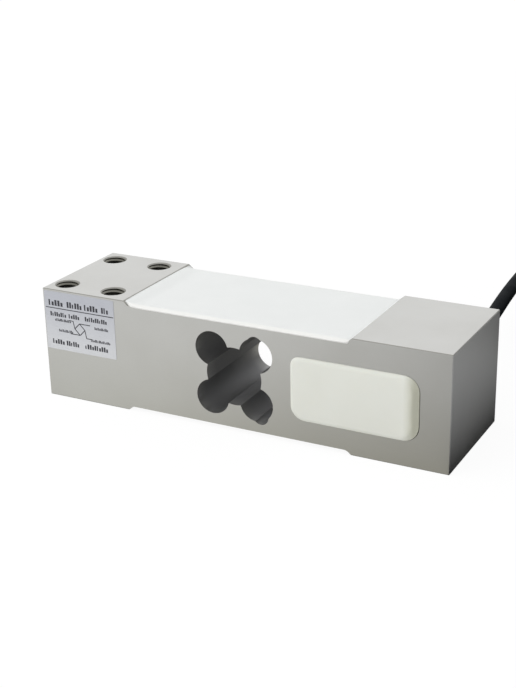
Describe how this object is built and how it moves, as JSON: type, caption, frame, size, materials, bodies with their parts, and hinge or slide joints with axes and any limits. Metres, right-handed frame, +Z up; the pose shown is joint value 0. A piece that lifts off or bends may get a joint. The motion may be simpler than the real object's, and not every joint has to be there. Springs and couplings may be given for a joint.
{
  "type": "single point load cell",
  "caption": "Aluminium block load cell with a clover flexure cut-out, sealed wiring pocket, threaded mounting pads and a signal cable.",
  "frame": {"origin": "bottom centre of the block, at the level of its lower pads", "axes": "+X along the block towards its fixed end, +Y from the face with the sealed pocket towards the cable exit, +Z up"},
  "size_m": [0.2127, 0.1892, 0.04],
  "materials": {
    "block": "fine milled",
    "white_silicone": "satin",
    "sealing_compound": "semi gloss",
    "label_foil": "silvery film",
    "gauge_film": "satin",
    "epoxy_sheet": "satin",
    "circuit_board": "solder mask",
    "enamelled_wire": "enamelled",
    "resistor_body": "lacquered",
    "element_body": "moulded",
    "black_rubber": "matte",
    "crimped_steel": "plated",
    "cable_sheath": "satin",
    "red_insulation": "satin",
    "black_insulation": "satin",
    "green_insulation": "satin",
    "white_insulation": "satin",
    "yellow_insulation": "satin",
    "tinned_copper": "tinned",
    "natural_nylon": "satin"
  },
  "bodies": {
    "root": {"elastic_body": "block", "top_coating": "white_silicone", "bottom_coating": "white_silicone", "pocket_potting": "sealing_compound", "rating_label": "label_foil", "top_load_gauge": "gauge_film", "top_fixed_gauge": "gauge_film", "bottom_load_gauge": "gauge_film", "bottom_fixed_gauge": "gauge_film", "top_solder_strip": "epoxy_sheet", "bottom_solder_strip": "epoxy_sheet", "top_gauge_jumpers": "enamelled_wire", "bottom_gauge_jumpers": "enamelled_wire", "top_bridge_wires": "enamelled_wire", "bottom_bridge_wires": "enamelled_wire", "compensation_board": "circuit_board", "zero_resistor": "resistor_body", "span_resistor": "resistor_body", "balance_resistor": "resistor_body", "temperature_element": "element_body", "cable_bush": "black_rubber", "crimp_ring": "crimped_steel", "red_core": "red_insulation", "black_core": "black_insulation", "green_core": "green_insulation", "white_core": "white_insulation", "screen_core": "yellow_insulation", "signal_cable": "cable_sheath", "cable_coil": "cable_sheath", "coil_tie_1": "natural_nylon", "coil_tie_2": "natural_nylon", "end_sleeve": "black_rubber", "red_lead": "red_insulation", "black_lead": "black_insulation", "green_lead": "green_insulation", "white_lead": "white_insulation", "screen_lead": "yellow_insulation", "tinned_ends": "tinned_copper"}
  },
  "joints": []
}
